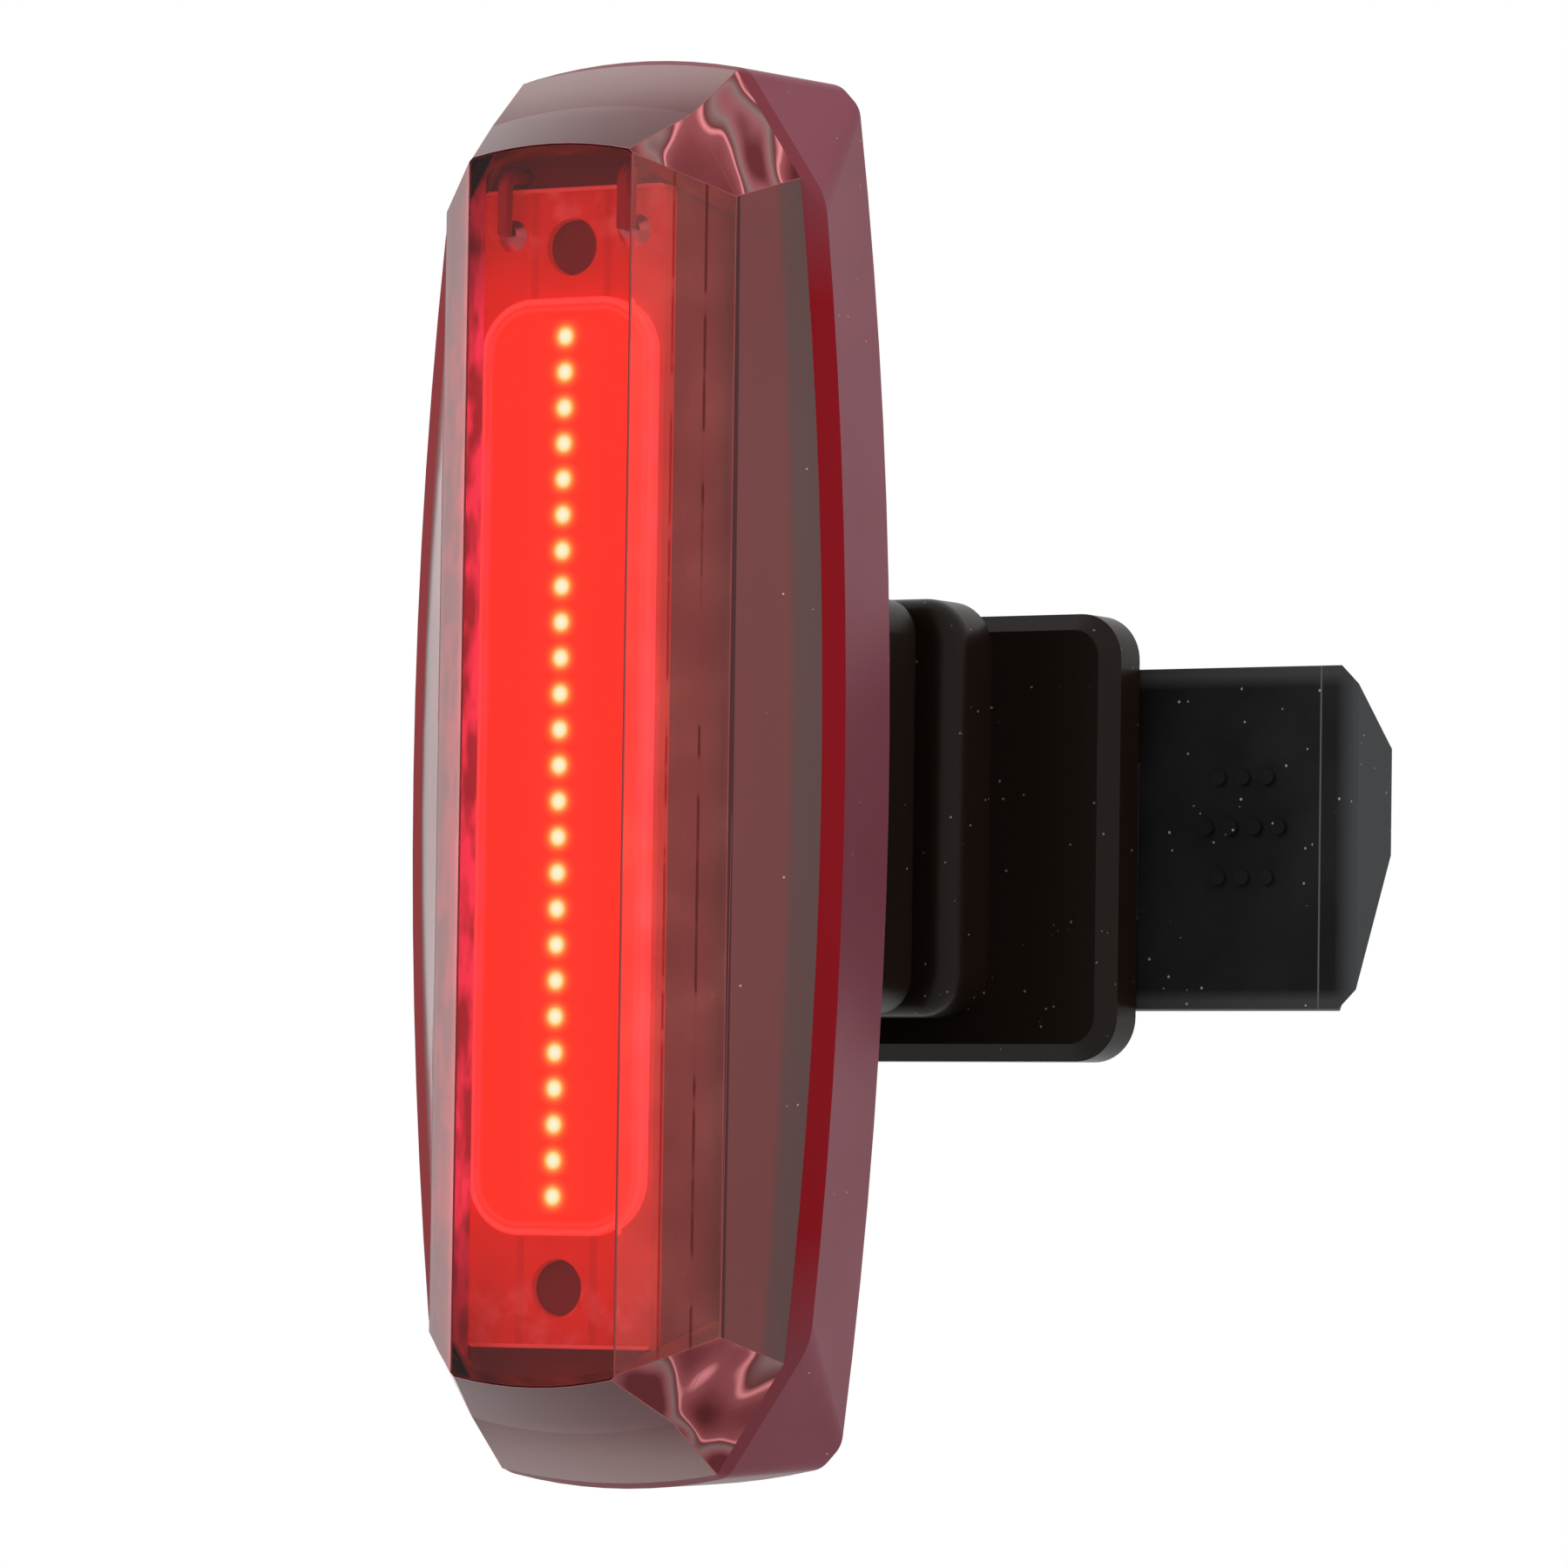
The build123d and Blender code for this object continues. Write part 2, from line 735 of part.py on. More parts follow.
def make_clip():
    # a block on the cover with a T tongue that slides down into the receiver
    outline = RectangleRounded(2 * clip_half_wide, clip_high, clip_corner)
    block = slab(Pos(0, receiver_lift - head_z) * outline, cover_back, clip_back)
    block = fillet(block.faces().sort_by(Axis.Y)[-1].edges(), clip_edge)
    low = tongue_low_z() - head_z
    high = clip_top_z - tongue_top_gap
    middle = Pos(0, (low + high) / 2)
    neck_back = receiver_front + lip_thick + slot_fit
    head_back = base_front - receiver_floor - slot_fit
    neck = slab(middle * Rectangle(2 * neck_half_wide, high - low), clip_back, neck_back)
    head = slab(middle * Rectangle(2 * head_half_wide, high - low), neck_back, head_back)
    head = chamfer(head.edges().filter_by(Axis.Y).sort_by(Axis.Z)[:2], clip_edge)
    clip = block + neck + head
    for z in (-clip_screw_z, clip_screw_z):
        clip -= rod(0, z, screw_radius, cover_back - overrun, cover_back + clip_screw_bite)
    return in_head(clip)


def make_clip_screws():
    screws = [screw(0, z, floor_front - screw_head, floor_front, cover_back + clip_screw_bite)
              for z in (-clip_screw_z, clip_screw_z)]
    return in_head(group(screws))


def receiver_low_z():
    return receiver_lift - receiver_high / 2


def tongue_low_z():
    # the tongue rests on the stop at the slot's lower end
    return receiver_low_z() + stop_high


def make_receiver():
    outline = RectangleRounded(2 * receiver_half_wide, receiver_high, receiver_corner)
    plate = slab(Pos(0, receiver_lift) * outline, receiver_front, base_front)
    plate = fillet(plate.faces().sort_by(Axis.Y)[0].edges(), receiver_pillow)
    low = tongue_low_z()
    high = receiver_lift + receiver_high / 2 + overrun
    middle = Pos(0, (low + high) / 2)
    neck = slab(middle * Rectangle(2 * (neck_half_wide + slot_fit), high - low), receiver_front - overrun,
                receiver_front + lip_thick)
    cavity = slab(middle * Rectangle(2 * (head_half_wide + slot_fit), high - low), receiver_front + lip_thick,
                  base_front - receiver_floor)
    plate = plate - neck - cavity
    for x in (-bracket_screw_x, bracket_screw_x):
        for z in (-bracket_screw_z, bracket_screw_z):
            low_y = base_front - bracket_screw_bite
            plate -= rod(x, z + receiver_lift, screw_radius, low_y, base_front + overrun)
    return plate


def pin_y():
    return base_back + pin_standoff


def make_base():
    plate = slab(RectangleRounded(2 * base_half_wide, base_high, base_corner), base_front, base_back)
    plate = chamfer(plate.faces().sort_by(Axis.Y)[0].edges(), base_bevel)
    for x in (-bracket_screw_x, bracket_screw_x):
        for z in (-bracket_screw_z, bracket_screw_z):
            hole_z = z + receiver_lift
            seat_y = base_back - screw_head
            plate -= rod(x, hole_z, screw_radius + screw_fit, base_front - overrun, base_back + overrun)
            plate -= rod(x, hole_z, screw_head_radius + screw_fit, seat_y, base_back + overrun)
    return plate + make_ears() + make_hook()


def make_ears():
    ears = []
    low_edge = band_high / 2 + ear_gap
    for side in (-1, 1):
        z = side * (low_edge + ear_thick / 2)
        lug = Pos(pin_x, pin_y(), z) * Cylinder(ear_radius, ear_thick)
        foot = Pos(pin_x, (base_back + pin_y()) / 2, z) * Box(2 * ear_radius, pin_standoff, ear_thick)
        bore = Pos(pin_x, pin_y(), z) * Cylinder(pin_radius + pin_fit, ear_thick + overrun)
        ears.append(lug + foot - bore)
    return ears[0] + ears[1]


def make_hook():
    # a post through the tab's slot with a nose outwards
    start_x = slot_start_x + hook_gap
    end_x = hook_end_x
    high = slot_high - 2 * hook_side_gap
    tip_y = base_back + tab_gap + tab_thick + hook_tail_gap + hook_tip
    nose_y = tip_y - hook_tip
    outline = Polyline((start_x, base_back), (end_x, base_back), (end_x, nose_y), (end_x + hook_nose, nose_y),
                       (end_x, tip_y), (start_x, tip_y), close=True)
    return extrude(Pos(0, 0, -high / 2) * make_face(outline), amount=high)


def make_bracket_screws():
    screws = []
    for x in (-bracket_screw_x, bracket_screw_x):
        for z in (-bracket_screw_z, bracket_screw_z):
            tip = base_front - bracket_screw_bite
            screws.append(screw(x, z + receiver_lift, base_back, base_back - screw_head, tip))
    return group(screws)


def make_pad():
    tip_y = -(post_radius ** 2 - (pad_half_wide - pad_tip) ** 2) ** 0.5
    block = slab(Rectangle(2 * pad_half_wide, pad_high), base_back, tip_y)
    block = fillet(block.edges().filter_by(Axis.Y), pad_corner)
    block -= Cylinder(post_radius, pad_high + overrun)
    for i in range(groove_count):
        z = (i - (groove_count - 1) / 2) * groove_pitch
        block -= Pos(0, 0, z) * Cylinder(post_radius + groove_deep, groove_wide)
    return block


def strap_profile():
    # band from the pin's eye, round the back of the post and forwards to the tab, seen from above
    middle_radius = post_radius + strap_thick / 2
    distance = hypot(pin_x, pin_y())
    tangent = atan2(pin_y(), pin_x) - acos(middle_radius / distance)
    touch = (middle_radius * cos(tangent), middle_radius * sin(tangent))
    back = (0, middle_radius)
    line_y = base_back + tab_gap + strap_thick / 2
    bend_middle = (middle_radius + bend_radius, line_y + bend_radius)
    turn = bend_radius * sin(radians(45))
    leg = Line((pin_x, pin_y()), touch)
    round_back = ThreePointArc(touch, back, (middle_radius, 0))
    down = Line((middle_radius, 0), (middle_radius, bend_middle[1]))
    bend = ThreePointArc((middle_radius, bend_middle[1]), (bend_middle[0] - turn, bend_middle[1] - turn),
                         (bend_middle[0], line_y))
    onward = Line((bend_middle[0], line_y), (slot_start_x + slot_wide, line_y))
    band = trace([leg, round_back, down, bend, onward], strap_thick)
    eye = Pos(pin_x, pin_y()) * Circle(pin_radius + eye_fit + eye_wall)
    return band + eye - Pos(pin_x, pin_y()) * Circle(pin_radius + eye_fit)


def tab_face(y, run, top_cut, low_cut):
    half = strap_high / 2
    outline = Polyline((tab_start_x, -half), (tab_end_x - run, -half), (tab_end_x, -half + low_cut),
                       (tab_end_x, half - top_cut), (tab_end_x - run, half), (tab_start_x, half), close=True)
    return at_depth(make_face(outline), y)


def make_strap():
    # the band is narrower than the tab
    strap = extrude(Pos(0, 0, -band_high / 2) * strap_profile(), amount=band_high)
    tab_front = base_back + tab_gap
    tab = loft([tab_face(tab_front, tab_front_cut, tab_front_cut, tab_front_cut),
                tab_face(tab_front + tab_thick, tab_cut_run, tab_top_cut, tab_low_cut)], ruled=True)
    slot = Box(slot_wide, 2 * tab_thick, slot_high)
    slot = Pos(slot_start_x + slot_wide / 2, tab_front + tab_thick / 2, 0) * slot
    return strap + tab + make_pips(tab_front) - slot


def make_pips(tab_front):
    middle_x = tab_end_x - pip_from_end
    pips = []
    for row, count in enumerate(pip_rows):
        z = pip_lift + ((len(pip_rows) - 1) / 2 - row) * pip_row_pitch
        for i in range(count):
            x = middle_x + (i - (count - 1) / 2) * pip_pitch
            pips.append(rod(x, z, pip_radius, tab_front - pip_rise, tab_front + pip_rise))
    return group(pips)


def make_pin():
    half = band_high / 2 + ear_gap + ear_thick
    shank = Cylinder(pin_radius, 2 * half)
    head = Pos(0, 0, half + pin_head / 2) * Cylinder(pin_head_radius, pin_head)
    return Pos(pin_x, pin_y(), 0) * (shank + head)


makers = {
    "lens": make_lens, "seal_ring": make_seal_ring, "rim_housing": make_rim,
    "light_board": make_light_board, "light_strip": make_light_strip, "led_dies": make_leds,
    "solder_joints": make_solder, "lead_wires": make_lead_wires, "inner_frame": make_inner_frame,
    "battery": make_battery, "battery_foam": make_foam, "battery_leads": make_battery_leads,
    "control_board": make_control_board, "driver_chips": make_chips, "tactile_switch": make_switch,
    "switch_plunger": make_plunger, "power_button": make_button, "usb_socket": make_usb_socket,
    "usb_flap": make_flap, "indicator_pipe": make_pipe, "rear_cover": make_rear_cover,
    "cover_screws": make_cover_screws, "rear_clip": make_clip, "clip_screws": make_clip_screws,
    "bracket_receiver": make_receiver, "bracket_base": make_base, "bracket_screws": make_bracket_screws,
    "saddle_pad": make_pad, "strap": make_strap, "strap_pin": make_pin,
}

os.makedirs("parts", exist_ok=True)
for node, maker in makers.items():
    shape = maker()
    export_step(shape, f"parts/{node}.step")
    print(node, round(shape.volume, 1))
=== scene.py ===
import json
import math
import bpy
import numpy as np
from mathutils import Matrix, Vector


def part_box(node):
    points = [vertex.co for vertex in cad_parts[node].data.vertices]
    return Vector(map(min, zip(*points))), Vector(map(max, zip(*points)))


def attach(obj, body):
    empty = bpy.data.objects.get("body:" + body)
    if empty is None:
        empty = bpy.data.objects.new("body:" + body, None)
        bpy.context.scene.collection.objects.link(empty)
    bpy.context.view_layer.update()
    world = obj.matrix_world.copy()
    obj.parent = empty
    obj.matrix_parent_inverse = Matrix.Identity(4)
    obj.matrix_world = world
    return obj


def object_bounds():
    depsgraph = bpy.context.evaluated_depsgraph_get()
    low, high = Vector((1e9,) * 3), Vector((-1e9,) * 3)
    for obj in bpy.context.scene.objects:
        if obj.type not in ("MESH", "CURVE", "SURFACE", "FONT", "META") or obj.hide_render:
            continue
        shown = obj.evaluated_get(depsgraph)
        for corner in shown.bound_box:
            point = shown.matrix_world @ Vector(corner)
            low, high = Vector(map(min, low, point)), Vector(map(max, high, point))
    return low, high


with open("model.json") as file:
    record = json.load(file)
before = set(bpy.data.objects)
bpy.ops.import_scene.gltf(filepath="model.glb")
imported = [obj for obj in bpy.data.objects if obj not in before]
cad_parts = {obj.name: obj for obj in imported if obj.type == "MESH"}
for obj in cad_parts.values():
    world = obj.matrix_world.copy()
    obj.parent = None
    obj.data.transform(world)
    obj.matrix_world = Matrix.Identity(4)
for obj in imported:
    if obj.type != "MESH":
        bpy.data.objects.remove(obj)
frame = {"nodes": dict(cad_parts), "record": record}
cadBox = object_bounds()
nodes = frame["nodes"]
mm = 0.001

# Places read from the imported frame
lensLow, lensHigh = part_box("lens")
headMiddle = (lensLow.z + lensHigh.z) / 2
windowFront = lensLow.y

# The photographed view: a long lens from the light's right hand side, tilted a little
camera = {
    "azimuth": 30.0,             # degrees, like the next two
    "elevation": -2.96,
    "roll": 0.795,
    "distance": 0.4474,          # m from the camera to the point it looks at
    "focal": 200.0,              # mm, like the sensor's width
    "sensor": 36.0,
    "clip": (0.01, 20),          # m
    "imageSize": 1800,           # pixels along each side of the photograph
    "headPixel": (621, 876.4),   # where the middle of the window's flat stands in the photograph
}


def addCamera(c):
    a, e, r = (math.radians(c[key]) for key in ("azimuth", "elevation", "roll"))
    back = Vector((math.sin(a) * math.cos(e), -math.cos(a) * math.cos(e), math.sin(e)))
    right = Vector((math.cos(a), math.sin(a), 0))
    up = back.cross(right)
    # the roll turns the picture's axes about the line of sight
    tiltedRight = right * math.cos(r) + up * math.sin(r)
    tiltedUp = up * math.cos(r) - right * math.sin(r)
    perPixel = c["sensor"] / c["imageSize"] / c["focal"] * c["distance"]
    half = c["imageSize"] / 2
    offRight = (half - c["headPixel"][0]) * perPixel
    offUp = (half - c["headPixel"][1]) * perPixel
    target = Vector((0, windowFront, headMiddle)) + tiltedRight * offRight - tiltedUp * offUp
    place = target + back * c["distance"]
    turn = Matrix((tiltedRight, tiltedUp, back)).transposed().to_4x4()
    data = bpy.data.cameras.new("photo_view")
    data.lens = c["focal"]
    data.sensor_width = c["sensor"]
    data.clip_start, data.clip_end = c["clip"]
    shot = bpy.data.objects.new("photo_view", data)
    shot.matrix_world = Matrix.Translation(place) @ turn
    bpy.context.collection.objects.link(shot)
    bpy.context.scene.camera = shot


studio = {
    "worldLevel": 0.55,
    "floorDrop": 0.10,           # m below the object
    "floorHalf": 3.0,            # m
    "floorColour": (0.86, 0.86, 0.86, 1),
    "floorRoughness": 0.8,
    "mirrored": "key_softbox",   # the one lamp that shows in glossy surfaces
    # name, place, aims at, width, height, watts
    "lamps": (
        ("key_softbox", (-0.35, -0.55, 0.45), (0, -0.03, 0.0), 0.30, 0.30, 5.0),
        ("side_softbox", (0.75, -0.25, 0.25), (0, -0.03, 0.0), 0.25, 0.50, 1.4),
        ("top_softbox", (0.22, -0.06, 0.20), (0.01, -0.03, 0.04), 0.12, 0.12, 0.45),
    ),
}


def whiteWhereSeen(tree, shader, output):
    # camera, glossy and transmitted rays meet plain white, and light is left to the shader
    rays = tree.nodes.new("ShaderNodeLightPath")
    seen = tree.nodes.new("ShaderNodeMath")
    seen.operation = "ADD"
    seen.use_clamp = True
    firstTwo = tree.nodes.new("ShaderNodeMath")
    firstTwo.operation = "ADD"
    tree.links.new(rays.outputs["Is Camera Ray"], firstTwo.inputs[0])
    tree.links.new(rays.outputs["Is Glossy Ray"], firstTwo.inputs[1])
    tree.links.new(firstTwo.outputs[0], seen.inputs[0])
    tree.links.new(rays.outputs["Is Transmission Ray"], seen.inputs[1])
    mix = tree.nodes.new("ShaderNodeMixShader")
    white = tree.nodes.new("ShaderNodeBackground" if output.bl_idname == "ShaderNodeOutputWorld"
                           else "ShaderNodeEmission")
    white.inputs["Color"].default_value = (1, 1, 1, 1)
    white.inputs["Strength"].default_value = 1.0
    tree.links.new(seen.outputs[0], mix.inputs[0])
    tree.links.new(shader.outputs[0], mix.inputs[1])
    tree.links.new(white.outputs[0], mix.inputs[2])
    tree.links.new(mix.outputs[0], output.inputs["Surface"])


def addStudio(s):
    scene = bpy.context.scene
    scene.view_settings.view_transform = "Standard"
    world = bpy.data.worlds.new("studio")
    scene.world = world
    world.use_nodes = True
    tree = world.node_tree
    level = tree.nodes["Background"]
    level.inputs["Color"].default_value = (1, 1, 1, 1)
    level.inputs["Strength"].default_value = s["worldLevel"]
    whiteWhereSeen(tree, level, tree.nodes["World Output"])
    for name, place, aim, width, height, watts in s["lamps"]:
        data = bpy.data.lights.new(name, "AREA")
        data.shape = "RECTANGLE"
        data.size = width
        data.size_y = height
        data.energy = watts
        lamp = bpy.data.objects.new(name, data)
        lamp.location = place
        lamp.visible_glossy = name == s["mirrored"]
        lamp.rotation_euler = (Vector(aim) - Vector(place)).to_track_quat("-Z", "Y").to_euler()
        bpy.context.collection.objects.link(lamp)
    half = s["floorHalf"]
    floorZ = cadBox[0].z - s["floorDrop"]
    corners = [(-half, -half, floorZ), (half, -half, floorZ), (half, half, floorZ), (-half, half, floorZ)]
    mesh = bpy.data.meshes.new("floor")
    mesh.from_pydata(corners, [], [(0, 1, 2, 3)])
    floor = bpy.data.objects.new("floor", mesh)
    bpy.context.collection.objects.link(floor)
    material = bpy.data.materials.new("floor_paper")
    material.use_nodes = True
    tree = material.node_tree
    paper = tree.nodes["Principled BSDF"]
    paper.inputs["Base Color"].default_value = s["floorColour"]
    paper.inputs["Roughness"].default_value = s["floorRoughness"]
    whiteWhereSeen(tree, paper, tree.nodes["Material Output"])
    mesh.materials.append(material)


addCamera(camera)
addStudio(studio)
print("camera and studio ready")


class Shading:
    # a material under construction, with short ways to place nodes and link them

    def __init__(self, name):
        self.material = bpy.data.materials.new(name)
        self.material.use_nodes = True
        self.tree = self.material.node_tree
        self.bsdf = self.tree.nodes["Principled BSDF"]
        self.place = self.node("ShaderNodeTexCoord").outputs["Object"]

    def node(self, kind, **settings):
        made = self.tree.nodes.new(kind)
        for key, value in settings.items():
            setattr(made, key, value)
        return made

    def link(self, source, target):
        self.tree.links.new(source, target)

    def set(self, **values):
        for key, value in values.items():
            self.bsdf.inputs[key.replace("_", " ")].default_value = value

    def noise(self, scale, detail=3.0, rough=0.5):
        made = self.node("ShaderNodeTexNoise")
        made.inputs["Scale"].default_value = scale
        made.inputs["Detail"].default_value = detail
        made.inputs["Roughness"].default_value = rough
        self.link(self.place, made.inputs["Vector"])
        return made.outputs["Fac"]

    def math(self, operation, first, second=None, third=None):
        made = self.node("ShaderNodeMath", operation=operation)
        for socket, value in zip(made.inputs, (first, second, third)):
            if value is None:
                continue
            if hasattr(value, "is_output"):
                self.link(value, socket)
            else:
                socket.default_value = value
        return made.outputs[0]

    def ramp(self, source, stops):
        made = self.node("ShaderNodeValToRGB")
        elements = made.color_ramp.elements
        while len(elements) < len(stops):
            elements.new(0.5)
        for element, (place, colour) in zip(elements, stops):
            element.position = place
            element.color = tuple(colour) + (1,) * (4 - len(colour))
        self.link(source, made.inputs["Fac"])
        return made.outputs["Color"]

    def mapRange(self, source, low, high, toLow, toHigh):
        made = self.node("ShaderNodeMapRange")
        for name, value in (("From Min", low), ("From Max", high), ("To Min", toLow), ("To Max", toHigh)):
            made.inputs[name].default_value = value
        self.link(source, made.inputs["Value"])
        return made.outputs["Result"]

    def fade(self, source, span, toFirst=0, toSecond=1, zero=0.0):
        # one value to another while the source passes through a span, which is given in mm from zero
        return self.mapRange(source, zero + span[0] * mm, zero + span[1] * mm, toFirst, toSecond)

    def line(self, source, place, half):
        # 1 closer to the place than half the line's width, else 0
        return self.math("LESS_THAN", self.math("ABSOLUTE", self.math("SUBTRACT", source, place)), half)

    def bump(self, height, strength, distance):
        made = self.node("ShaderNodeBump")
        made.inputs["Strength"].default_value = strength
        made.inputs["Distance"].default_value = distance
        self.link(height, made.inputs["Height"])
        self.link(made.outputs["Normal"], self.bsdf.inputs["Normal"])

    def axes(self):
        made = self.node("ShaderNodeSeparateXYZ")
        self.link(self.place, made.inputs[0])
        return made.outputs


def srgb(red, green, blue):
    # an sRGB colour, 0-255, as the linear numbers that a socket takes. Most of the colours below were first
    # read at single points of the photograph, and then changed until the render came close
    return tuple(round((v / 255 / 12.92) if v <= 10 else ((v / 255 + 0.055) / 1.055) ** 2.4, 4)
                 for v in (red, green, blue))


def grey(level):
    return (level, level, level)


def makeGroup(name, inputs, output):
    # an empty shared effect with its sockets, ready for nodes
    group = bpy.data.node_groups.new(name, "ShaderNodeTree")
    for label, kind in inputs:
        group.interface.new_socket(label, in_out="INPUT", socket_type=kind)
    group.interface.new_socket(output[0], in_out="OUTPUT", socket_type=output[1])
    return group, group.nodes.new("NodeGroupInput"), group.nodes.new("NodeGroupOutput")


dust = {
    "patchScale": 700,
    "patchDetail": 2,
    "patchFrom": 0.55,           # least value of the broad noise at which specks are kept
    "onBlack": srgb(96, 92, 90),
}


def dustGroup():
    # pale specks scattered over a colour: cells of a Voronoi texture whose middle lies close by,
    # kept only where a broad noise is high
    inputs = (("Color", "NodeSocketColor"), ("Dust", "NodeSocketColor"),
              ("Scale", "NodeSocketFloat"), ("Reach", "NodeSocketFloat"))
    group, given, made = makeGroup("dust_specks", inputs, ("Color", "NodeSocketColor"))
    place = group.nodes.new("ShaderNodeTexCoord")
    cells = group.nodes.new("ShaderNodeTexVoronoi")
    broad = group.nodes.new("ShaderNodeTexNoise")
    near = group.nodes.new("ShaderNodeMath")
    near.operation = "LESS_THAN"
    high = group.nodes.new("ShaderNodeMath")
    high.operation = "GREATER_THAN"
    both = group.nodes.new("ShaderNodeMath")
    both.operation = "MULTIPLY"
    mix = group.nodes.new("ShaderNodeMixRGB")
    broad.inputs["Scale"].default_value = dust["patchScale"]
    broad.inputs["Detail"].default_value = dust["patchDetail"]
    high.inputs[1].default_value = dust["patchFrom"]
    links = group.links
    links.new(place.outputs["Object"], cells.inputs["Vector"])
    links.new(place.outputs["Object"], broad.inputs["Vector"])
    links.new(given.outputs["Scale"], cells.inputs["Scale"])
    links.new(cells.outputs["Distance"], near.inputs[0])
    links.new(given.outputs["Reach"], near.inputs[1])
    links.new(broad.outputs["Fac"], high.inputs[0])
    links.new(near.outputs[0], both.inputs[0])
    links.new(high.outputs[0], both.inputs[1])
    links.new(both.outputs[0], mix.inputs["Fac"])
    links.new(given.outputs["Color"], mix.inputs["Color1"])
    links.new(given.outputs["Dust"], mix.inputs["Color2"])
    links.new(mix.outputs["Color"], made.inputs["Color"])
    return group


grain = {
    "broadScale": 420,
    "fineDetail": 4,
}


def grainGroup():
    # fine moulded grain: two noises of different size added up as a height
    group, given, made = makeGroup("moulded_grain", (("Scale", "NodeSocketFloat"),),
                                   ("Height", "NodeSocketFloat"))
    place = group.nodes.new("ShaderNodeTexCoord")
    fine = group.nodes.new("ShaderNodeTexNoise")
    broad = group.nodes.new("ShaderNodeTexNoise")
    broad.inputs["Scale"].default_value = grain["broadScale"]
    fine.inputs["Detail"].default_value = grain["fineDetail"]
    total = group.nodes.new("ShaderNodeMath")
    total.operation = "ADD"
    group.links.new(place.outputs["Object"], fine.inputs["Vector"])
    group.links.new(place.outputs["Object"], broad.inputs["Vector"])
    group.links.new(given.outputs["Scale"], fine.inputs["Scale"])
    group.links.new(fine.outputs["Fac"], total.inputs[0])
    group.links.new(broad.outputs["Fac"], total.inputs[1])
    group.links.new(total.outputs[0], made.inputs["Height"])
    return group


dustSpecks = dustGroup()
mouldedGrain = grainGroup()


def dusty(s, colour, specks, scale=1500, reach=0.10):
    # puts dust specks over a colour, a plain one or a socket, and links it to the base colour
    made = s.node("ShaderNodeGroup", node_tree=dustSpecks)
    if hasattr(colour, "is_output"):
        s.link(colour, made.inputs["Color"])
    else:
        made.inputs["Color"].default_value = tuple(colour) + (1,)
    made.inputs["Dust"].default_value = tuple(specks) + (1,)
    made.inputs["Scale"].default_value = scale
    made.inputs["Reach"].default_value = reach
    s.link(made.outputs["Color"], s.bsdf.inputs["Base Color"])


def grained(s, scale, strength, distance):
    made = s.node("ShaderNodeGroup", node_tree=mouldedGrain)
    made.inputs["Scale"].default_value = scale
    s.bump(made.outputs["Height"], strength, distance)


def awayFromMiddle(s):
    # distance up or down from the middle of the head
    return s.math("ABSOLUTE", s.math("SUBTRACT", s.axes()[2], headMiddle))


def blendBy(s, factor, first, second):
    made = s.node("ShaderNodeMixRGB")
    for socket, value in ((made.inputs["Fac"], factor), (made.inputs["Color1"], first),
                          (made.inputs["Color2"], second)):
        if hasattr(value, "is_output"):
            s.link(value, socket)
        else:
            socket.default_value = value if isinstance(value, float) else tuple(value) + (1,)
    return made.outputs["Color"]


# Lengths in mm. Depths count from the flat's front, and spans run along the head from its middle
window = {
    "clearTint": (0.74, 0.27, 0.29),
    "clearIor": 1.28,            # lower than real plastic, so that the clear parts mirror less white
    "sideHaze": 0.14,
    "endHaze": 0.05,
    # place to either side of the middle line, colour
    "drawnLines": ((6.5, srgb(150, 60, 58)), (7.7, srgb(130, 50, 50))),
    "drawnLineHalf": 0.05,
    "farFacetSpan": (-8.8, -4.9),   # this one across, from the middle line
    "flangeDepths": (4.3, 7.8),
    "shoulderDepth": 4.05,       # where the inner facets meet the outer ones
    "shoulderLineDrop": 0.10,
    "shoulderLineHalf": 0.11,
    "shoulderSlack": 0.03,
    "wallGlowSpan": (22, 27),
    "wallGlowLeast": 0.22,
    "endSpan": (31.8, 37.4),
    "coreDepth": 10,             # of the point that the outer facets face away from
    "facetTurn": 0.22,           # least part of a normal that makes a facet a side or an end
    "facetBackLimit": 0.5,       # greatest backward part of an outer facet's normal
    "edgeBackLimit": 0.3,        # the same for the facets beside a rounded edge
    "sharpFrom": 12.0,           # degrees between two facets that get a rounded edge
    "edgeRound": 0.065,          # radius of the rounded facet edges
    "edgeSides": 6,
    "edgeSinkShare": 0.9,        # of the radius, by which a rounded edge lies inside the window
}
windowCore = np.array((0, windowFront + window["coreDepth"] * mm, headMiddle))
windowShoulder = windowFront + window["shoulderDepth"] * mm
roundingPerMetre = 1e7           # corners that round to the same ten-thousandth of a mm are one


def windowFlat():
    s = Shading("window_clear")
    s.set(Base_Color=window["clearTint"] + (1,), Roughness=0.02, IOR=window["clearIor"],
          Transmission_Weight=1.0, Specular_IOR_Level=0.10)
    return s.material


def windowInnerFacet():
    # the facet next to the flat: nearly clear, with a brown-red haze in patches and two drawn lines
    s = Shading("window_inner_facet")
    x, _, _ = s.axes()
    haze = s.ramp(s.noise(260, 3), [(0.30, srgb(196, 112, 108)), (0.55, srgb(216, 130, 124)),
                                    (0.72, srgb(236, 146, 136))])
    across = s.math("ABSOLUTE", x)
    broken = s.mapRange(s.noise(420, 2), 0.42, 0.50, 0.1, 0.9)
    for place, shade in window["drawnLines"]:
        drawn = s.line(across, place * mm, window["drawnLineHalf"] * mm)
        haze = blendBy(s, s.math("MULTIPLY", drawn, broken), haze, shade)
    s.link(haze, s.bsdf.inputs["Base Color"])
    s.set(Roughness=0.04, IOR=window["clearIor"], Transmission_Weight=0.88, Specular_IOR_Level=0.10)
    return s.material


